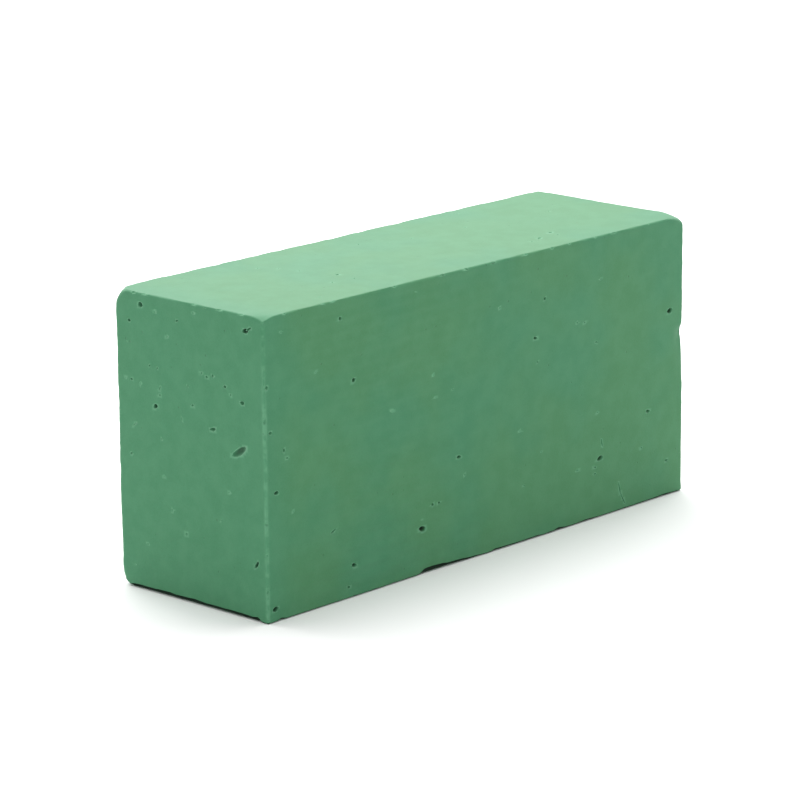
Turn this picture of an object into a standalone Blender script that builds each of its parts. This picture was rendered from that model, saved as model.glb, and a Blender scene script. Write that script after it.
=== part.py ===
"""Floral foam brick: one solid block of rigid green phenolic foam, standing on a narrow long side.

Metres, +Z up. X runs along the brick's length, Y through its thickness and Z up its height.
The origin is the middle of the face that it stands on.

The block is a loft: rounded rectangles stacked up the height, joined ring to ring. Its edges are
fairly crisp, its corners have worn round, and the sawn base has a small broken edge.
"""

import math

import bmesh
import bpy

# Driving dimensions of the brick.
LENGTH = 0.230
THICKNESS = 0.075
HEIGHT = 0.110

# The rounding of the top edges: how far it comes in on the long sides and on the ends, and
# how far down it starts.
TOP_ROUND_ON_SIDES = 0.0013
TOP_ROUND_ON_ENDS = 0.0010
TOP_ROUND_DROP = 0.0012

# The chamfer that sawing and handling leave round the base.
BASE_CHAMFER_IN = 0.0006
BASE_CHAMFER_UP = 0.0008

# The plan radius of the upright edges, half way up, at the top and at the base.
UPRIGHT_RADIUS = 0.0015
TOP_CORNER_RADIUS = 0.0058
BASE_CORNER_RADIUS = 0.0035

# How far from the top and from the base the corners start to soften.
CORNER_REACH = 0.0090

# How finely the curves are divided.
CORNER_SEGMENTS = 6
TOP_ROUND_SEGMENTS = 5
CORNER_RINGS = 4

FOAM_COLOUR = (0.085, 0.255, 0.133, 1.0)
FOAM_ROUGHNESS = 0.95


def clear_scene():
    for obj in list(bpy.data.objects):
        bpy.data.objects.remove(obj, do_unlink=True)


def foam_material():
    """Dry floral foam: a matt mid green."""
    material = bpy.data.materials.new("green_floral_foam")
    material.use_nodes = True
    shader = material.node_tree.nodes["Principled BSDF"]
    shader.inputs["Base Color"].default_value = FOAM_COLOUR
    shader.inputs["Roughness"].default_value = FOAM_ROUGHNESS
    shader.inputs["Metallic"].default_value = 0.0
    return material


def eased(share):
    """0 to 1 with a gentle start and end."""
    share = min(max(share, 0.0), 1.0)
    return share * share * (3.0 - 2.0 * share)


def corner_radius(height):
    """The plan radius of the upright edges at this height."""
    near_top = eased(1.0 - (HEIGHT - height) / CORNER_REACH)
    near_base = eased(1.0 - height / CORNER_REACH)
    return (
        UPRIGHT_RADIUS
        + (TOP_CORNER_RADIUS - UPRIGHT_RADIUS) * near_top
        + (BASE_CORNER_RADIUS - UPRIGHT_RADIUS) * near_base
    )


def section_heights():
    """(height, inset on the sides, inset on the ends) of each ring, from the base up."""
    rings = [(0.0, BASE_CHAMFER_IN, BASE_CHAMFER_IN), (BASE_CHAMFER_UP, 0.0, 0.0)]
    for step in range(1, CORNER_RINGS + 1):
        share = step / CORNER_RINGS
        rings.append((BASE_CHAMFER_UP + share * (CORNER_REACH - BASE_CHAMFER_UP), 0.0, 0.0))
    shoulder = HEIGHT - TOP_ROUND_DROP
    soft_from = HEIGHT - CORNER_REACH
    for step in range(CORNER_RINGS):
        share = step / CORNER_RINGS
        rings.append((soft_from + share * (shoulder - soft_from), 0.0, 0.0))
    for step in range(TOP_ROUND_SEGMENTS + 1):
        angle = math.radians(90.0) * step / TOP_ROUND_SEGMENTS
        inwards = 1.0 - math.cos(angle)
        rings.append(
            (
                shoulder + TOP_ROUND_DROP * math.sin(angle),
                TOP_ROUND_ON_SIDES * inwards,
                TOP_ROUND_ON_ENDS * inwards,
            )
        )
    return rings


def rounded_rectangle(half_x, half_y, radius):
    """Points round a rectangle with round corners, anticlockwise from above."""
    points = []
    for quarter, (side_x, side_y) in enumerate(((1, 1), (-1, 1), (-1, -1), (1, -1))):
        centre_x = side_x * (half_x - radius)
        centre_y = side_y * (half_y - radius)
        for step in range(CORNER_SEGMENTS + 1):
            angle = math.radians(90.0) * (quarter + step / CORNER_SEGMENTS)
            points.append(
                (centre_x + radius * math.cos(angle), centre_y + radius * math.sin(angle))
            )
    return points


def loft_brick():
    """Joins the rings with quads and closes the base and the top."""
    mesh = bmesh.new()
    below = None
    for height, side_inset, end_inset in section_heights():
        outline = rounded_rectangle(
            LENGTH / 2 - end_inset, THICKNESS / 2 - side_inset, corner_radius(height)
        )
        ring = [mesh.verts.new((x, y, height)) for x, y in outline]
        if below is None:
            mesh.faces.new(list(reversed(ring)))
        else:
            for i, vertex in enumerate(ring):
                following = (i + 1) % len(ring)
                mesh.faces.new((below[i], below[following], ring[following], vertex))
        below = ring
    mesh.faces.new(below)
    bmesh.ops.recalc_face_normals(mesh, faces=mesh.faces)
    return mesh


def foam_brick():
    data = bpy.data.meshes.new("foam_brick")
    mesh = loft_brick()
    mesh.to_mesh(data)
    mesh.free()
    data.materials.append(foam_material())
    data.shade_smooth()
    data.set_sharp_from_angle(angle=math.radians(35.0))
    brick = bpy.data.objects.new("foam_brick", data)
    bpy.context.scene.collection.objects.link(brick)
    return brick


def main():
    clear_scene()
    foam_brick()


main()
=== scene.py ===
"""Looks of the floral foam brick: a worn block of dry green foam on a pale studio floor.

The block is one closed surface. A grid over a box is rounded, worn and broken away as whole arrays,
and then its pores and nicks, which are lumpy bubbles, are cut out of it. Metres, in the CAD frame:
X runs along the length, Y through the thickness and Z up. The front is the long side towards -Y, and
the end is the short side towards -X.
"""

import itertools
import math

import bpy
import numpy as np
from mathutils import Matrix, Vector


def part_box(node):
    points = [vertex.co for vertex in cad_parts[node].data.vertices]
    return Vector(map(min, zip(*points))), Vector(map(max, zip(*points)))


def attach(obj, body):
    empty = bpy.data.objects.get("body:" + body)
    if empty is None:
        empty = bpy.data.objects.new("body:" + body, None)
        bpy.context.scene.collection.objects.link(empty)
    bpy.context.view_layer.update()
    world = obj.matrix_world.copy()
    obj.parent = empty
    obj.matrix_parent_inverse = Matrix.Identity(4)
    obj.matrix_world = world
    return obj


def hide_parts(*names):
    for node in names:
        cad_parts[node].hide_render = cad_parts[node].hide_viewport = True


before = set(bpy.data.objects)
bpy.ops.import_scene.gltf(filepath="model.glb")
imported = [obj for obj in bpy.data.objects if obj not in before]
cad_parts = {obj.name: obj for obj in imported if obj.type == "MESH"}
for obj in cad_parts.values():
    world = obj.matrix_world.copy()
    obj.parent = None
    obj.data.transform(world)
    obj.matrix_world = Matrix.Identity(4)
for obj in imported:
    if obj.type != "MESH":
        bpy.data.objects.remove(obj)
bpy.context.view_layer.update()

LOW, HIGH = (np.array(corner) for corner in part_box("foam_brick"))
CENTRE = (HIGH + LOW) / 2
HALF = (HIGH - LOW) / 2
MM = 0.001

# ---- The grid: steps along X, Y and Z, and how far they crowd towards the edges (0 even, 1 most).
GRID_STEPS = (150, 64, 130)
GRID_CROWDING = (0.72, 0.60, 0.45)

# ---- Edge radii.
UPRIGHT_RADIUS = 1.2 * MM
NEAR_UPRIGHT_RADIUS = 0.8 * MM
TOP_END_RADIUS = 0.6 * MM
TOP_SIDE_RADIUS = 0.7 * MM
BASE_RADIUS = 0.25 * MM

# How far down the top edges' own radii reach, and how far up the base's.
TOP_EDGE_REACH = 4 * MM
BASE_EDGE_REACH = 6 * MM

# Where the corners have worn round, each in the plane of one face: the corner by the signs of X, Y
# and Z, the axis square to the face, the rounding's two radii in that plane, and how far inwards it
# fades. Millimetres.
WORN_CORNERS = (
    ((-1, 1, 1), 2, (12.0, 7.0), 9.0),
    ((-1, 1, 1), 0, (3.0, 2.0), 10.0),
    ((1, -1, 1), 0, (15.0, 4.5), 13.0),
    ((1, 1, 1), 0, (2.0, 1.0), 6.0),
    ((-1, 1, -1), 0, (6.5, 7.0), 11.0),
    ((1, -1, -1), 1, (1.5, 2.0), 6.0),
    ((1, 1, -1), 2, (3.0, 3.0), 12.0),
)

# The near top corner sags this much, over this distance along its edges, and down to this depth.
NEAR_SAG = 1.2 * MM
NEAR_SAG_REACH = 3.8 * MM
NEAR_SAG_DEPTH = 15 * MM

# ---- The marks on the skin: how deep each goes, and how far apart its waves or lumps lie.
BROAD_DIP = 0.22 * MM
BROAD_DIP_CELL = 42 * MM
SMALL_DIP = 0.06 * MM
SMALL_DIP_CELL = 7 * MM
RIPPLE_DEPTH = 0.20 * MM
RIPPLE_PITCH = 4.4 * MM
RIPPLE_WANDER = 2.2 * MM
RIPPLE_MIDDLE = -55 * MM
RIPPLE_SPREAD = 48 * MM
CRUMBLE_DEPTH = 0.26 * MM
FINE_CRUMB = 1.6 * MM
COARSE_CRUMB = 4.0 * MM

# ---- The seam, which is the gap under the sides where the sawn base has broken away. The grid keeps
# a band at its foot for it, with these lines. The foam above the band gives way over SEAM_GIVE, and
# the base inside it over BASE_GIVE. The groove is SEAM_DEPTH deep at most.
SEAM_BAND = 1.4 * MM
SEAM_LINES = (0.30 * MM, 0.70 * MM, 1.05 * MM, 1.28 * MM, SEAM_BAND, 1.75 * MM)
SEAM_GIVE = 8 * MM
BASE_GIVE = 6 * MM
SEAM_DEPTH = 2.0 * MM

# Its height along each side: millimetres along, and high.
FRONT_SEAM = (
    (0, 0.2), (5, 0.3), (6.5, 0.9), (9, 0.3), (40, 0.25), (77, 0.3), (79.5, 0.7), (81.5, 2.1),
    (86, 1.8), (96, 1.2), (108, 0.7), (114, 0.3), (117, 0.3), (119, 0.8), (127, 0.6), (137, 0.5),
    (143, 0.7), (147, 0.35), (153, 0.5), (156, 1.4), (158, 0.6), (165, 0.4), (172, 0.8), (178, 0.4),
    (200, 0.35), (212, 0.6), (220, 0.7), (226, 0.4), (230, 0.2),
)
END_SEAM = (
    (0, 0.2), (3.5, 0.3), (5, 1.7), (7.5, 1.3), (35, 1.4), (37, 1.8), (38.5, 1.5), (65, 1.5),
    (69, 1.2), (71, 0.25), (75, 0.2),
)
BACK_SEAM = ((0, 0.2), (8, 0.25), (20, 0.7), (35, 0.3), (80, 0.8), (140, 0.3), (190, 0.9), (230, 0.3))
FAR_END_SEAM = ((0, 0.2), (25, 0.5), (50, 0.8), (70, 0.3))

# ---- The notch in the front right upright edge: millimetres up from the base, and how deep it is.
NOTCH = ((44, 0.0), (54, 0.3), (60, 0.6), (63.8, 1.4), (65.8, 0.9), (67, 0.0))

# ---- The larger pores of each face, in millimetres from its near lower corner: along, up, width,
# length, tilt in degrees from upright, and depth. The last rows of the front are its crack and two
# specks.
FRONT_PORES = (
    (38.5, 103.0, 1.5, 1.2, 0, 1),
    (9.0, 103.5, 1.1, 0.9, 10, 0.3),
    (45.0, 79.5, 1.8, 1.4, 0, 1.4),
    (3.0, 68.5, 1.4, 1.4, 10, 0.8),
    (1.5, 85.0, 1.3, 1.3, 0, 0.7),
    (9.5, 61.0, 1.0, 1.6, -20, 0.7),
    (11.0, 58.0, 1.1, 0.9, 0, 0.5),
    (5.5, 46.5, 2.0, 1.4, 0, 1.4),
    (13.5, 38.0, 1.3, 1.0, 0, 0.3),
    (33.5, 26.5, 0.8, 3.0, 62, 0.7),
    (44.0, 11.5, 2.2, 1.6, 0, 1.6),
    (4.0, 4.5, 2.8, 1.7, 0, 2),
    (80.0, 17.0, 3.4, 2.1, 0, 2.2),
    (85.5, 25.0, 1.5, 1.1, 0, 0.8),
    (89.0, 25.0, 1.4, 0.9, 0, 0.8),
    (41.0, 4.0, 1.5, 1.0, 0, 0.9),
    (64.5, 64.5, 2.2, 0.9, 0, 0.2),
    (86.5, 73.5, 1.0, 1.6, 30, 0.25),
    (100.0, 40.0, 2.0, 1.3, 0, 1.3),
    (103.0, 32.5, 1.3, 1.1, 0, 0.4),
    (148.0, 91.0, 1.4, 1.1, 0, 0.8),
    (142.5, 77.0, 1.8, 1.1, 0, 1),
    (166.5, 78.5, 1.4, 1.1, 0, 0.4),
    (177.5, 69.0, 1.7, 0.9, 0, 0.4),
    (133.5, 43.0, 1.7, 0.9, 0, 0.3),
    (180.0, 23.0, 2.8, 2.0, -8, 2),
    (181.0, 29.0, 0.6, 3.4, -6, 0.5),
    (177.0, 20.0, 1.1, 0.7, 0, 0.6),
    (177.0, 17.5, 1.1, 0.7, 0, 0.6),
    (166.5, 21.0, 1.7, 0.9, 0, 0.4),
    (208.5, 36.0, 2.0, 1.2, 0, 1.1),
    (220.0, 14.0, 1.4, 0.8, 0, 0.8),
    (221.5, 73.5, 2.7, 1.9, 0, 2.6),
    (191.6, 8.6, 0.4, 4.8, -14, 0.6),
    (193.6, 4.2, 0.4, 4.8, -30, 0.6),
    (122.5, 92.0, 1.3, 0.9, 0, 0.25),
    (87.5, 65.0, 1.3, 0.9, 0, 0.25),
)
END_PORES = (
    (61.5, 105.5, 2.5, 1.7, 0, 1.2),
    (67.5, 99.0, 1.4, 1.1, 0, 1),
    (9.0, 104.0, 2.3, 1.8, 0, 2),
    (7.0, 105.0, 0.9, 2.6, -62, 0.6),
    (43.0, 102.5, 1.2, 0.9, 0, 0.7),
    (55.0, 69.5, 2.0, 1.7, 0, 1.7),
    (11.0, 78.0, 1.8, 1.5, 0, 1.1),
    (36.0, 73.0, 1.1, 0.9, 0, 0.6),
    (67.0, 77.5, 1.1, 0.9, 0, 0.6),
    (19.5, 82.5, 1.3, 1.0, 0, 0.8),
    (52.5, 74.0, 1.1, 0.9, 0, 0.4),
    (26.0, 66.0, 1.2, 3.2, -84, 0.9),
    (13.0, 60.0, 2.7, 7.6, -62, 1.2),
    (5.5, 20.5, 1.3, 2.8, -34, 1.4),
    (52.0, 58.0, 1.2, 0.9, 0, 0.3),
    (68.0, 50.0, 1.0, 0.9, 0, 0.5),
    (40.5, 25.0, 1.1, 0.9, 0, 0.3),
    (25.5, 85.5, 0.8, 1.2, 40, 0.5),
    (28.5, 84.5, 1.1, 0.9, 0, 0.5),
    (31.0, 85.5, 0.8, 0.9, 0, 0.4),
    (34.5, 106.5, 1.2, 0.9, 0, 0.25),
    (54.0, 104.0, 0.9, 1.2, 40, 0.25),
    (48.0, 96.0, 0.9, 1.1, -30, 0.25),
    (62.5, 76.5, 1.0, 1.7, -25, 0.3),
    (41.5, 67.0, 0.8, 1.7, 8, 0.3),
    (70.0, 77.5, 1.2, 0.9, 0, 0.25),
    (66.0, 61.0, 0.5, 3.2, -50, 0.3),
    (52.5, 76.5, 0.5, 2.0, -30, 0.4),
    (57.5, 84.0, 0.8, 0.8, 0, 0.5),
    (60.5, 17.5, 1.0, 0.8, 0, 0.25),
    (47.5, 32.5, 1.1, 1.1, 20, 0.25),
    (18.5, 44.5, 1.0, 0.8, 0, 0.25),
    (67.5, 8.5, 0.8, 0.7, 0, 0.25),
)
TOP_PORES = ((161.5, 14.5, 1.4, 2.2, 70, 0.3), (172.0, 18.0, 1.3, 2.0, 75, 0.3))

# How many more, smaller pores each face has: (face, how many, least and greatest width in
# millimetres). They lie at least this far from each other and from the edges.
PORE_GAP = 3.0
PORE_MARGIN = 4.0
SCATTERED = (
    ("front", 12, 0.4, 0.8),
    ("end", 6, 0.4, 0.7),
    ("top", 14, 0.4, 0.9),
    ("back", 44, 0.5, 2.0),
    ("far_end", 18, 0.5, 1.8),
    ("base", 40, 0.6, 2.2),
)

# Crumbs missing from the edges: the edge's middle by the signs of X, Y and Z, and how many.
EDGE_BITES = (
    ((-1, -1, 0), 11),
    ((0, -1, 1), 16),
    ((-1, 0, 1), 7),
    ((1, -1, 0), 6),
    ((-1, 1, 0), 5),
    ((1, 1, 0), 5),
    ((0, 1, 1), 12),
    ((1, 0, 1), 5),
)

# ---- Colours, in linear light.
FOAM_GREEN = (0.033, 0.196, 0.086, 1.0)
FOAM_YELLOWER = (0.044, 0.198, 0.074, 1.0)
FOAM_PALE = (0.110, 0.330, 0.180, 1.0)
# Painted shade: this near-black green darkens the deep pores, the seam's groove and the pinholes.
PAINTED_SHADE = (0.002, 0.022, 0.009, 1.0)
SHEEN_TINT = (0.85, 1.0, 0.9, 1.0)
FLOOR_WHITE = (0.90, 0.90, 0.90, 1.0)
LIGHT_WHITE = (1.0, 1.0, 1.0, 1.0)

# Edges that turn by more than this many degrees stay sharp in the shading.
SHARP_TURN = 38.0

# ---- Camera: degrees, metres, and millimetres of lens.
VIEW_AZIMUTH = -46.86
VIEW_ELEVATION = 14.4
VIEW_ROLL = -0.6
VIEW_DISTANCE = 1.432
LENS_MM = 172.3
AIM_ACROSS = -4.4 * MM
AIM_UP = -2.5 * MM

# ---- The floor: how far it reaches each way, and how far below the base it lies.
FLOOR_REACH = 6.0
FLOOR_DROP = 0.0002


def eased(share):
    """Nought to one with a soft start and end: 3s^2 - 2s^3, held outside that range."""
    share = np.clip(share, 0.0, 1.0)
    return share * share * (3.0 - 2.0 * share)


def soft_noise(points, cell, seed):
    """Smooth noise from 0 to 1: random numbers on a lattice this far apart, blended by the eased way
    across a cell."""
    scaled = (points + HALF + 5 * MM) / cell
    low = np.floor(scaled).astype(int)
    share = eased(scaled - low)
    numbers = np.random.default_rng(seed).random(low.max(axis=0) + 2)
    total = np.zeros(len(points))
    for corner in itertools.product((0, 1), repeat=3):
        nearness = np.where(np.array(corner) == 1, share, 1.0 - share).prod(axis=1)
        total += nearness * numbers[tuple((low + corner).T)]
    return total


def along_profile(profile, distance):
    """Reads a profile of (millimetres along, millimetres deep) at these distances, in metres."""
    at, deep = np.array(profile, float).T
    return MM * np.interp(distance / MM, at, deep)


# ---- The block.


def grid_lines(half, steps, crowding):
    """Places from -half to half: even steps t from -1 to 1, mixed with sin(90 degrees * t), which
    crowds the ends."""
    t = np.linspace(-1.0, 1.0, steps + 1)
    return half * ((1.0 - crowding) * t + crowding * np.sin(math.pi / 2 * t))


def box_grid():
    """The closed grid over the box: each side is a grid of two of the three sets of lines, and sides
    share their rims. Gives the points, and the squares between them."""
    lines = [grid_lines(*of_axis) for of_axis in zip(HALF, GRID_STEPS, GRID_CROWDING)]
    above_seam = lines[2][lines[2] > SEAM_LINES[-1] - HALF[2] + 0.2 * MM]
    lines[2] = np.concatenate([[-HALF[2]], np.array(SEAM_LINES) - HALF[2], above_seam])
    counts = [len(line) for line in lines]
    sides = []
    for axis in range(3):
        across, up = (axis + 1) % 3, (axis + 2) % 3
        i, j = np.meshgrid(np.arange(counts[across] - 1), np.arange(counts[up] - 1), indexing="ij")
        for end in (0, counts[axis] - 1):
            corners = []
            for di, dj in ((0, 0), (1, 0), (1, 1), (0, 1)):
                place = [None, None, None]
                place[axis] = np.full_like(i, end)
                place[across] = i + di
                place[up] = j + dj
                corners.append(np.ravel_multi_index(place, counts).ravel())
            squares = np.stack(corners, axis=1)
            sides.append(squares if end else squares[:, ::-1])
    used, squares = np.unique(np.concatenate(sides), return_inverse=True)
    places = np.unravel_index(used, counts)
    points = np.stack([line[place] for line, place in zip(lines, places)], axis=1)
    return points, squares.reshape(-1, 4)


def from_upright(q, side_x, side_y):
    """How far each point of the box lies from the upright edge on these sides of X and Y."""
    return np.hypot(q[:, 0] - side_x * HALF[0], q[:, 1] - side_y * HALF[1])


def edge_radius(q):
    """The rounding at each point of the box: one radius for the uprights, eased to others near the top
    and the base. It is 0.9 to 1.3 times as much by squared soft noise, and 0.5 to 2.3 times along the
    top edges and the near upright, which are ragged."""
    above_base = q[:, 2] + HALF[2]
    from_ends = HALF[0] - np.abs(q[:, 0])
    at_top = eased(1.0 - (HALF[2] - q[:, 2]) / TOP_EDGE_REACH)
    at_near = eased(1.0 - (from_upright(q, -1, -1) - 5 * MM) / (15 * MM))
    along_sides = eased((from_ends - 2 * MM) / (10 * MM))
    top = TOP_END_RADIUS + (TOP_SIDE_RADIUS - TOP_END_RADIUS) * along_sides
    upright = UPRIGHT_RADIUS + (NEAR_UPRIGHT_RADIUS - UPRIGHT_RADIUS) * at_near
    ragged = np.maximum(at_top, at_near)
    lumps = 0.9 - 0.4 * ragged + (0.4 + 1.4 * ragged) * soft_noise(q, COARSE_CRUMB, 8) ** 2
    radius = (upright + (top - upright) * at_top) * lumps
    return BASE_RADIUS + (radius - BASE_RADIUS) * eased(above_base / BASE_EDGE_REACH)


def round_off(q):
    """Rounds the box: each point q goes to inner + r * u, where inner is q clipped to the box less r,
    and u points from inner to q. Gives the new points and u."""
    radius = edge_radius(q)[:, None]
    inner = np.clip(q, radius - HALF, HALF - radius)
    outward = q - inner
    outward /= np.linalg.norm(outward, axis=1)[:, None]
    return inner + radius * outward, outward


def edge_nearness(outward):
    """0 on the flats and 1 in the middle of a rounded edge: twice the greatest product of two parts of
    the normal."""
    x, y, z = np.abs(outward).T
    return 2.0 * np.maximum(np.maximum(x * y, y * z), x * z)


def unevenness(q):
    """How far the skin dips: broad hollows, and smaller ones within them that are three times longer
    than high."""
    level = q * (0.33, 0.33, 1.0)
    return BROAD_DIP * soft_noise(q, BROAD_DIP_CELL, 1) + SMALL_DIP * soft_noise(level, SMALL_DIP_CELL, 2)


def saw_ripples(q, outward):
    """Faint saw ripples: a sine up the height, wandering a little, strongest on the front left of its
    middle, where they fade as exp(-(distance / spread)^2), and a fifth as deep on the other sides."""
    wander = RIPPLE_WANDER * soft_noise(q, 30 * MM, 3)
    wave = 0.5 + 0.5 * np.sin(2 * math.pi * (q[:, 2] - 0.035 * q[:, 0] + wander) / RIPPLE_PITCH)
    middle = np.exp(-(((q[:, 0] - RIPPLE_MIDDLE) / RIPPLE_SPREAD) ** 2))
    front = np.clip(-outward[:, 1], 0.0, 1.0) ** 4 * (0.15 + 0.85 * middle)
    others = np.clip(outward[:, 1] + np.abs(outward[:, 0]), 0.0, 1.0) ** 4 * 0.2
    return RIPPLE_DEPTH * wave * (front + others)


def edge_crumbling(q, outward):
    """How far the edges have crumbled: a depth times fine and coarse noise, both squared."""
    crumbs = 0.55 * soft_noise(q, FINE_CRUMB, 4) ** 2 + 0.75 * soft_noise(q, COARSE_CRUMB, 5) ** 2
    return CRUMBLE_DEPTH * crumbs * edge_nearness(outward)


def notch(q):
    """The bruise in the far upright edge of the front, deepest a little above half height and dying out
    downwards: its profile, eased to nothing 7 mm from the edge."""
    on_edge = eased(1.0 - from_upright(q, 1, -1) / (7 * MM))
    ragged = 0.8 + 0.4 * soft_noise(q, FINE_CRUMB, 6)
    return along_profile(NOTCH, q[:, 2] + HALF[2]) * on_edge * ragged


def base_edges(q):
    """Each base edge's seam profile, with how far along the edge and how far inside its face each point
    lies."""
    from_left = q[:, 0] + HALF[0]
    from_front = q[:, 1] + HALF[1]
    return (
        (FRONT_SEAM, from_left, from_front),
        (BACK_SEAM, from_left, 2 * HALF[1] - from_front),
        (END_SEAM, from_front, from_left),
        (FAR_END_SEAM, from_front, 2 * HALF[0] - from_left),
    )


def seam_height(q):
    """The seam's height near each point: the edges' profiles, blended by exp(-(distance / 3 mm)^2) and a
    little ragged."""
    total = np.zeros(len(q))
    weight = np.full(len(q), 1e-9)
    for profile, along, inside in base_edges(q):
        near = np.exp(-((inside / (3 * MM)) ** 2))
        total += near * along_profile(profile, along)
        weight += near
    return total / weight * (0.85 + 0.3 * soft_noise(q, 2.6 * MM, 7))


def open_seam(q, points):
    """Opens the seam: the band at the foot of the sides is stretched to the seam's height, and set in as
    a groove, one and a half times as deep as it is high and deepest just under its lip."""
    height = q[:, 2] + HALF[2]
    seam = seam_height(q)
    share = np.clip(height / SEAM_BAND, 0.0, 1.0)
    give = 1.0 - eased((height - SEAM_BAND) / SEAM_GIVE)
    points[:, 2] += (seam - SEAM_BAND) * np.where(height < SEAM_BAND, share, give)
    groove = np.interp(share, (0.0, 0.75, 0.92, 1.0), (0.30, 1.0, 0.7, 0.0))
    set_in = np.minimum(SEAM_DEPTH, 1.5 * seam) * groove
    for axis in (0, 1):
        inside = HALF[axis] - np.abs(q[:, axis])
        points[:, axis] -= np.sign(q[:, axis]) * set_in * (1.0 - eased(inside / BASE_GIVE))


def wear_corner(q, points, signs, across, radii, fade):
    """Rounds one corner in the plane square to this axis: offsets past its inner point, as shares of the
    two radii, are scaled so that the square becomes a circle. The radii fall to nothing over the fade,
    as (1 - distance / fade)^2."""
    plane = [axis for axis in range(3) if axis != across]
    signs = np.array(signs, float)
    from_face = HALF[across] - signs[across] * q[:, across]
    share = np.clip(1.0 - from_face / (fade * MM), 0.0, 1.0) ** 2
    radius = MM * np.array(radii) * np.maximum(share, 1e-6)[:, None]
    inner = HALF[plane] - radius
    offset = np.maximum(points[:, plane] * signs[plane] - inner, 0.0) / radius
    both = (offset > 0.0).all(axis=1) & (share > 0.001)
    offset = offset[both]
    offset *= (offset.max(axis=1) / np.hypot(*offset.T))[:, None]
    points[np.ix_(both, plane)] = signs[plane] * (inner[both] + radius[both] * offset)


def sag_near_corner(q, points):
    """Lowers the top near the near corner by sag * exp(-(distance / reach)^2), and what is below it less
    and less."""
    near_top = eased(1.0 - (HALF[2] - q[:, 2]) / NEAR_SAG_DEPTH)
    sag = NEAR_SAG * np.exp(-((from_upright(q, -1, -1) / NEAR_SAG_REACH) ** 2))
    points[:, 2] -= sag * near_top


def worn_block():
    """The brick's skin: the rounded box moved in along its normals by every mark, with the seam opened
    below and the corners worn round."""
    q, squares = box_grid()
    points, outward = round_off(q)
    depth = unevenness(q) + saw_ripples(q, outward) + edge_crumbling(q, outward) + notch(q)
    points -= outward * depth[:, None]
    open_seam(q, points)
    for corner in WORN_CORNERS:
        wear_corner(q, points, *corner)
    sag_near_corner(q, points)
    return points, squares


# ---- Pores, nicks and the crack, which are cut out of the block.

# Each face's own frame: the corner it is measured from, by signs, then the ways along it, up it and
# into the foam.
FACE_FRAMES = {
    "front": ((-1, -1, -1), (1, 0, 0), (0, 0, 1), (0, 1, 0)),
    "end": ((-1, -1, -1), (0, 1, 0), (0, 0, 1), (1, 0, 0)),
    "top": ((-1, -1, 1), (1, 0, 0), (0, 1, 0), (0, 0, -1)),
    "back": ((-1, 1, -1), (1, 0, 0), (0, 0, 1), (0, -1, 0)),
    "far_end": ((1, -1, -1), (0, 1, 0), (0, 0, 1), (-1, 0, 0)),
    "base": ((-1, -1, -1), (1, 0, 0), (0, 1, 0), (0, 0, 1)),
}

# A pore's profile: shares of its depth, from above the skin down, and of its mouth, which flares a
# little. Then how far it leans over, as a share of its mouth, how lumpy it is, and its facets round.
PORE_DEPTHS = np.array([-0.5, -0.06, 0.16, 0.42, 0.74, 0.94])
PORE_WIDTHS = np.array([1.34, 1.26, 1.00, 0.94, 0.72, 0.38])
PORE_LEAN = 0.22
PORE_LUMPINESS = 0.12
PORE_SEGMENTS = 12


def lumpy_hollow(mouth, ways, half_sizes, lean, rng):
    """A closed hollow: the pore's profile turned round the inward way and stretched by half_sizes along
    the three ways. Its radius at an angle a is the profile's times 1 plus two and three waves round it,
    turned a little further at each depth. It leans over by this much at its deepest, and each end
    closes in one point."""
    a = np.linspace(0.0, 2 * math.pi, PORE_SEGMENTS, endpoint=False)[None, :]
    level = PORE_DEPTHS[:, None]
    turn = rng.uniform(0.0, 2 * math.pi, 2) + 1.2 * level
    waves = np.sin(2 * a + turn[:, :1]) + 0.6 * np.sin(3 * a + turn[:, 1:])
    lumps = 1.0 + PORE_LUMPINESS * waves
    across = PORE_WIDTHS[:, None] * lumps
    rings = np.stack([across * np.cos(a), across * np.sin(a), level + 0.0 * a], axis=2).reshape(-1, 3)
    unit = np.concatenate([[[0.0, 0.0, PORE_DEPTHS[0] - 0.05]], rings, [[0.0, 0.0, 1.0]]])
    points = mouth + (unit * half_sizes) @ np.array(ways, float) + np.clip(unit[:, 2:], 0.0, 1.0) * lean
    return points, hollow_faces(len(unit) - 1)


def hollow_faces(deepest):
    """A hollow's triangles: a fan at its outer point, bands between its rings, and a fan at its deepest
    point, which has this number."""
    band = np.arange(PORE_SEGMENTS)
    following = (band + 1) % PORE_SEGMENTS
    first = 1 + PORE_SEGMENTS * np.arange(len(PORE_DEPTHS) - 1)[:, None]
    last = deepest - PORE_SEGMENTS
    upper = (first + band).ravel()
    upper_next = (first + following).ravel()
    lower = upper + PORE_SEGMENTS
    lower_next = upper_next + PORE_SEGMENTS
    return np.concatenate([
        np.stack([np.zeros_like(band), 1 + following, 1 + band], axis=1),
        np.stack([upper, upper_next, lower_next], axis=1),
        np.stack([upper, lower_next, lower], axis=1),
        np.stack([last + band, last + following, np.full_like(band, deepest)], axis=1),
    ])


def pore(face, along, up, width, length, tilt, depth, rng):
    """A hollow whose mouth, on this face, is width by length, with its length tilted from upright.
    Millimetres."""
    corner, across_way, up_way, inward = (np.array(way, float) for way in FACE_FRAMES[face])
    turn = math.radians(tilt)
    long_way = math.cos(turn) * up_way + math.sin(turn) * across_way
    wide_way = np.cross(long_way, inward)
    on_box = corner * HALF + MM * (along * across_way + up * up_way)
    dip = unevenness(on_box[None, :])[0]
    half_sizes = MM * np.array([width / 2, length / 2, depth])
    lean = PORE_LEAN * MM * min(width, length) * up_way
    return lumpy_hollow(on_box + dip * inward, (wide_way, long_way, inward), half_sizes, lean, rng)


def face_size(face):
    """The face's length and height, in millimetres."""
    _, across_way, up_way, _ = FACE_FRAMES[face]
    return tuple(2 * abs(np.dot(HALF, way)) / MM for way in (across_way, up_way))


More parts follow.
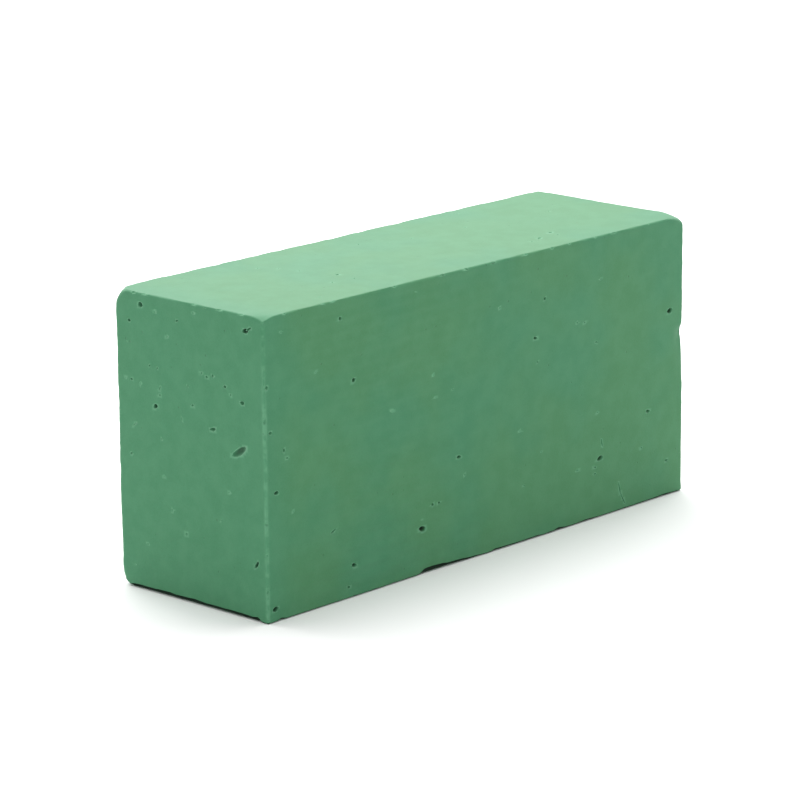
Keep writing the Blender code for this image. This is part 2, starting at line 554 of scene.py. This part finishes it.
def scattered_pores(taken, rng):
    """Small pores at random places, clear of each other and of those already there."""
    for face, wanted, least, greatest in SCATTERED:
        length, height = face_size(face)
        placed = 0
        while placed < wanted:
            along = rng.uniform(PORE_MARGIN, length - PORE_MARGIN)
            up = rng.uniform(PORE_MARGIN, height - PORE_MARGIN)
            if any(math.hypot(along - a, up - b) < PORE_GAP for a, b in taken[face]):
                continue
            taken[face].append((along, up))
            placed += 1
            width = least + (greatest - least) * rng.random() ** 2.5
            pore_length = width * rng.uniform(0.9, 1.6)
            tilt = rng.uniform(0, 180)
            yield pore(face, along, up, width, pore_length, tilt, 0.6 * width, rng)


def edge_bites(rng):
    """Crumbs missing from the edges: shallow hollows cut in from an edge, spaced out along it."""
    for signs, count in EDGE_BITES:
        signs = np.array(signs, float)
        inward = -signs / np.linalg.norm(signs)
        along_edge = 1.0 - np.abs(signs)
        reach = np.dot(along_edge, HALF) - 5 * MM
        shares = (np.arange(count) + rng.uniform(0.1, 0.9, count)) / count
        for place in reach * (2.0 * shares - 1.0):
            mouth = signs * HALF + place * along_edge + rng.uniform(0.3, 0.7) * MM * inward
            half_sizes = MM * rng.uniform((0.4, 0.4, 0.15), (0.8, 1.1, 0.35))
            ways = (np.cross(along_edge, inward), along_edge, inward)
            yield lumpy_hollow(mouth, ways, half_sizes, 0.0, rng)


def all_hollows():
    """Every bubble to cut, as lists of points and faces."""
    rng = np.random.default_rng(23)
    found = []
    taken = {face: [] for face in FACE_FRAMES}
    for face, pores in (("front", FRONT_PORES), ("end", END_PORES), ("top", TOP_PORES)):
        for one in pores:
            found.append(pore(face, *one, rng))
            taken[face].append(one[:2])
    found.extend(scattered_pores(taken, rng))
    found.extend(edge_bites(rng))
    return found


def joined(pieces):
    """One array of points and one of faces from several."""
    starts = np.cumsum([0] + [len(points) for points, _ in pieces[:-1]])
    points = np.concatenate([points for points, _ in pieces])
    faces = np.concatenate([faces + start for (_, faces), start in zip(pieces, starts)])
    return points, faces


# ---- From arrays to objects.


def mesh_object(name, points, faces):
    """A new object in the scene with these points and faces."""
    mesh = bpy.data.meshes.new(name)
    mesh.from_pydata(points + CENTRE, [], faces)
    obj = bpy.data.objects.new(name, mesh)
    bpy.context.scene.collection.objects.link(obj)
    return obj


def mark_faces(obj, value):
    """Gives every face of the object this number, which the Boolean carries over, so that pore walls can
    be told."""
    marks = obj.data.attributes.new("pore_wall", "INT", "FACE")
    marks.data.foreach_set("value", np.full(len(obj.data.polygons), value, np.int32))


def cut_out(block, hollows):
    """Takes the hollows out of the block, and keeps the result in place of its mesh."""
    cut = block.modifiers.new("hollows", "BOOLEAN")
    cut.operation = "DIFFERENCE"
    cut.solver = "MANIFOLD"
    cut.object = hollows
    graph = bpy.context.evaluated_depsgraph_get()
    mesh = bpy.data.meshes.new_from_object(block.evaluated_get(graph))
    block.modifiers.clear()
    mesh.materials.clear()
    block.data = mesh
    bpy.data.objects.remove(hollows)


def vertex_places(mesh):
    """Where the mesh's vertices lie, from the middle of the block."""
    places = np.empty(3 * len(mesh.vertices), np.float32)
    mesh.vertices.foreach_get("co", places)
    return places.reshape(-1, 3).astype(float) - CENTRE


def depth_inside(points):
    """How far inside the rounded block each point lies: the radius there less the distance from the
    inner box."""
    radius = edge_radius(points)[:, None]
    inner = np.clip(points, radius - HALF, HALF - radius)
    reach = np.linalg.norm(points - inner, axis=1)
    inside = (HALF - radius - np.abs(points)).min(axis=1)
    return radius[:, 0] - reach + np.maximum(inside, 0.0)


def on_pore_wall(mesh):
    """True for the vertices of the faces that the hollows left behind."""
    walls = np.zeros(len(mesh.polygons), np.int32)
    mesh.attributes["pore_wall"].data.foreach_get("value", walls)
    sizes = np.empty(len(mesh.polygons), np.int32)
    mesh.polygons.foreach_get("loop_total", sizes)
    corners = np.empty(len(mesh.loops), np.int32)
    mesh.loops.foreach_get("vertex_index", corners)
    found = np.zeros(len(mesh.vertices), bool)
    found[corners[np.repeat(walls, sizes) == 1]] = True
    return found


def in_seam(mesh, points):
    """True for the vertices of the seam's groove, which is given painted shade: under its lip, where they
    don't look straight down.
    """
    normals = np.empty(3 * len(points), np.float32)
    mesh.vertex_normals.foreach_get("vector", normals)
    looks_out = normals.reshape(-1, 3)[:, 2] > -0.9
    return looks_out & (points[:, 2] + HALF[2] < 0.93 * seam_height(points))


def keep_attribute(mesh, name, values):
    """Stores one number for each vertex, for the material to read."""
    attribute = mesh.attributes.new(name, "FLOAT", "POINT")
    attribute.data.foreach_set("value", values.astype(np.float32))


def crushed_edges(points):
    """How crushed the foam is: exp(-(distance / width)^2) from an edge, times 1 along the near upright,
    three quarters along its top stretch, 0.45 along the other uprights and 0.2 along the top edges."""
    inside = HALF - np.abs(points)
    below_top = HALF[2] - points[:, 2]
    from_side = np.minimum(inside[:, 0], inside[:, 1])
    upright = np.exp(-((np.hypot(inside[:, 0], inside[:, 1]) / (1.3 * MM)) ** 2))
    top = np.exp(-((np.hypot(from_side, below_top) / (0.8 * MM)) ** 2))
    near = (points[:, 0] < 0.0) & (points[:, 1] < 0.0)
    near_strength = 0.75 + 0.25 * eased((below_top - 20 * MM) / (12 * MM))
    return np.maximum(upright * np.where(near, near_strength, 0.45), 0.2 * top)


def mark_finish(mesh):
    """Attributes for the material: hollow is 1 deep in a pore and in the seam, where it carries painted
    shade, rim is 1 round a pore's mouth, and worn is 1 along the edges, where the foam is crushed."""
    points = vertex_places(mesh)
    depth = depth_inside(points)
    walls = on_pore_wall(mesh)
    seam = in_seam(mesh, points)
    # Painted shade: hollow darkens the pore walls more with depth, and the whole groove of the seam.
    keep_attribute(mesh, "hollow", np.where(seam, 1.0, walls * eased((depth - 0.5 * MM) / (1.3 * MM))))
    keep_attribute(mesh, "rim", walls * (1.0 - eased((depth - 0.35 * MM) / (0.3 * MM))))
    keep_attribute(mesh, "worn", crushed_edges(points) * (1.0 - walls) * (1.0 - seam))


def shade(mesh):
    """Smooth shading, but for the sharp edges."""
    mesh.polygons.foreach_set("use_smooth", np.ones(len(mesh.polygons), bool))
    mesh.set_sharp_from_angle(angle=math.radians(SHARP_TURN))


# ---- The foam.


class Nodes:
    """A material's node tree, with a short way to add nodes and join them."""

    def __init__(self, material):
        material.use_nodes = True
        self.tree = material.node_tree
        self.tree.nodes.clear()

    def add(self, kind, outcome=0, settings=None, **inputs):
        """Adds a node, sets or links its inputs by name, and returns the chosen output."""
        node = self.tree.nodes.new(kind)
        for name, value in (settings or {}).items():
            setattr(node, name, value)
        for name, value in inputs.items():
            self.give(self.find(node, name), value)
        return node.outputs[outcome] if node.outputs else None

    def give(self, socket, value):
        """Links the socket to another node's output, or sets it to a plain value."""
        if isinstance(value, bpy.types.NodeSocket):
            self.tree.links.new(value, socket)
        else:
            socket.default_value = value

    @staticmethod
    def find(node, name):
        """The node's live input of this name, with underscores for its spaces."""
        wanted = name.replace("_", " ").lower()
        return next(socket for socket in node.inputs if socket.enabled and socket.name.lower() == wanted)

    def noise(self, place, scale, detail=2.0, roughness=0.5):
        """Noise from 0 to 1, with this many cells to the metre."""
        return self.add(
            "ShaderNodeTexNoise", Vector=place, Scale=scale, Detail=detail, Roughness=roughness,
        )

    def spread(self, value, low, high, to_low=0.0, to_high=1.0):
        """Stretches low to high over to_low to to_high, softly and without going past them."""
        return self.add(
            "ShaderNodeMapRange", 0, {"interpolation_type": "SMOOTHSTEP"},
            Value=value, From_Min=low, From_Max=high, To_Min=to_low, To_Max=to_high,
        )

    def mix(self, share, first, second):
        """From the first colour to the second by share."""
        node = self.tree.nodes.new("ShaderNodeMix")
        node.data_type = "RGBA"
        for place, value in ((0, share), (6, first), (7, second)):
            self.give(node.inputs[place], value)
        return node.outputs[2]

    def times(self, first, second):
        """The product of two numbers."""
        return self.arithmetic("MULTIPLY", first, second)

    def arithmetic(self, operation, first, second):
        """One operation on two numbers."""
        node = self.tree.nodes.new("ShaderNodeMath")
        node.operation = operation
        self.give(node.inputs[0], first)
        self.give(node.inputs[1], second)
        return node.outputs[0]

    def attribute(self, name):
        """A number kept on the mesh's vertices."""
        return self.add("ShaderNodeAttribute", 2, {"attribute_name": name})


def clouded_foam(nodes, place):
    """The foam's colour: broad clouds of a yellower green, and smaller pale blotches. The clouds fade out
    towards the end, which is painted light: it leaves the end face cooler, as cooler light on it would."""
    along = nodes.add("ShaderNodeSeparateXYZ", Vector=place)
    # Painted light: the yellower clouds fade out near the end, so the end face looks cooler, as under
    # cooler light.
    painted_cool_end = nodes.spread(along, LOW[0] + 1 * MM, LOW[0] + 20 * MM, 0.15, 1.0)
    clouds = nodes.spread(nodes.noise(place, 22.0, 3.0), 0.32, 0.60)
    colour = nodes.mix(nodes.times(clouds, painted_cool_end), FOAM_GREEN, FOAM_YELLOWER)
    blotches = nodes.spread(nodes.noise(place, 140.0, 3.0, 0.6), 0.30, 0.72)
    return nodes.mix(nodes.times(blotches, 0.16), colour, FOAM_PALE)


def crushed_foam(nodes, place, colour):
    """Pales the colour along the worn edges, crumb by crumb, and round the mouths of the pores."""
    crumbs = nodes.spread(nodes.noise(place, 260.0, 2.0, 0.6), 0.40, 0.60, 0.45, 1.0)
    crushed = nodes.times(nodes.spread(nodes.attribute("worn"), 0.05, 0.85), crumbs)
    colour = nodes.mix(nodes.times(crushed, 0.9), colour, FOAM_PALE)
    return nodes.mix(nodes.times(nodes.attribute("rim"), 0.8), colour, FOAM_PALE)


def foam_pinholes(nodes, place):
    """1 in scattered pinholes, which are given painted shade and a dip in the bump: the middles of cells
    3 mm apart, where a broader noise is high.
    """
    cells = nodes.add("ShaderNodeTexVoronoi", Vector=place, Scale=330.0)
    rare = nodes.spread(nodes.noise(place, 190.0, 1.0), 0.60, 0.68)
    return nodes.times(nodes.spread(cells, 0.10, 0.17, 1.0, 0.0), rare)


def foam_material():
    """Dry floral foam: matt green, clouded and lightly speckled, with painted shade in its pores, seam
    and pinholes, and pale where it is crushed."""
    material = bpy.data.materials.new("floral_foam")
    nodes = Nodes(material)
    place = nodes.add("ShaderNodeTexCoord", 3)
    cells = nodes.noise(place, 1500.0, 2.0, 0.6)
    grain = nodes.spread(cells, 0.30, 0.70)
    pinhole = foam_pinholes(nodes, place)

    colour = nodes.mix(nodes.times(grain, 0.16), clouded_foam(nodes, place), FOAM_PALE)
    colour = crushed_foam(nodes, place, colour)
    # Painted shade: the pinholes a little, then the deep pores and the seam's groove by hollow.
    colour = nodes.mix(nodes.times(pinhole, 0.25), colour, PAINTED_SHADE)
    colour = nodes.mix(nodes.attribute("hollow"), colour, PAINTED_SHADE)

    height = nodes.arithmetic("SUBTRACT", nodes.times(cells, 0.5), pinhole)
    shader = nodes.add(
        "ShaderNodeBsdfPrincipled",
        Base_Color=colour,
        Normal=nodes.add("ShaderNodeBump", Strength=0.35, Distance=0.25 * MM, Height=height),
        Roughness=nodes.spread(grain, 0.0, 1.0, 0.72, 0.82),
        Specular_IOR_Level=0.45,
        Sheen_Weight=0.26,
        Sheen_Roughness=0.45,
        Sheen_Tint=SHEEN_TINT,
    )
    nodes.add("ShaderNodeOutputMaterial", Surface=shader)
    return material


# ---- The studio.


def floor_material():
    """Plain matt white."""
    material = bpy.data.materials.new("studio_floor")
    nodes = Nodes(material)
    shader = nodes.add("ShaderNodeBsdfPrincipled", Base_Color=FLOOR_WHITE, Roughness=0.9)
    nodes.add("ShaderNodeOutputMaterial", Surface=shader)
    return material


def studio_floor():
    """One broad square, just below the base."""
    signs = ((-1, -1), (1, -1), (1, 1), (-1, 1))
    corners = [(x * FLOOR_REACH, y * FLOOR_REACH, -FLOOR_DROP) for x, y in signs]
    mesh = bpy.data.meshes.new("studio_floor")
    mesh.from_pydata(corners, [], [(0, 1, 2, 3)])
    floor = bpy.data.objects.new("studio_floor", mesh)
    floor.data.materials.append(floor_material())
    bpy.context.scene.collection.objects.link(floor)
    return floor


def facing(obj, place, target):
    """Puts a light here and turns it to its target."""
    obj.location = place
    obj.rotation_euler = (Vector(target) - Vector(place)).to_track_quat("-Z", "Y").to_euler()


def softbox(name, place, target, width, depth, watts):
    """A white panel of light that faces its target."""
    light = bpy.data.lights.new(name, "AREA")
    light.shape = "RECTANGLE"
    light.size = width
    light.size_y = depth
    light.energy = watts
    obj = bpy.data.objects.new(name, light)
    bpy.context.scene.collection.objects.link(obj)
    facing(obj, place, target)


def studio_world(strength):
    """An even white room."""
    world = bpy.data.worlds.new("studio")
    world.use_nodes = True
    background = world.node_tree.nodes["Background"]
    background.inputs["Color"].default_value = LIGHT_WHITE
    background.inputs["Strength"].default_value = strength
    bpy.context.scene.world = world


def studio_camera():
    """Looks at the middle of the block from the given azimuth and elevation, slid sideways and upright in
    its own plane."""
    azimuth = math.radians(VIEW_AZIMUTH)
    elevation = math.radians(VIEW_ELEVATION)
    roll = math.radians(VIEW_ROLL)
    level_back = Vector((math.sin(azimuth), -math.cos(azimuth), 0.0))
    back = level_back * math.cos(elevation) + Vector((0.0, 0.0, math.sin(elevation)))
    level = Vector((math.cos(azimuth), math.sin(azimuth), 0.0))
    plumb = back.cross(level)
    right = level * math.cos(roll) + plumb * math.sin(roll)
    up = plumb * math.cos(roll) - level * math.sin(roll)
    data = bpy.data.cameras.new("camera")
    data.lens = LENS_MM
    data.sensor_width = 36.0
    data.clip_end = 50.0
    camera = bpy.data.objects.new("camera", data)
    bpy.context.scene.collection.objects.link(camera)
    place = Vector(CENTRE) + back * VIEW_DISTANCE + right * AIM_ACROSS + up * AIM_UP
    turn = Matrix((right, up, back)).transposed().to_4x4()
    camera.matrix_world = Matrix.Translation(place) @ turn
    bpy.context.scene.camera = camera


def foam_brick():
    """The worn brick, cut, marked, shaded and given to the frame."""
    brick = mesh_object("worn_foam_brick", *worn_block())
    hollows = mesh_object("hollows", *joined(all_hollows()))
    mark_faces(brick, 0)
    mark_faces(hollows, 1)
    cut_out(brick, hollows)
    mark_finish(brick.data)
    shade(brick.data)
    brick.data.materials.append(foam_material())
    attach(brick, "root")
    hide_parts("foam_brick")


def studio():
    """A pale floor, an even white room, a broad panel behind and above, and the camera."""
    studio_floor()
    studio_world(0.71)
    softbox("overhead", (0.55, 0.5, 1.7), (0.0, 0.0, 0.05), 2.4, 2.0, 50.0)
    softbox("behind", (0.4, 1.7, 0.85), (0.0, 0.0, 0.08), 2.6, 1.0, 24.0)
    studio_camera()
    bpy.context.scene.view_settings.view_transform = "Standard"


foam_brick()
studio()
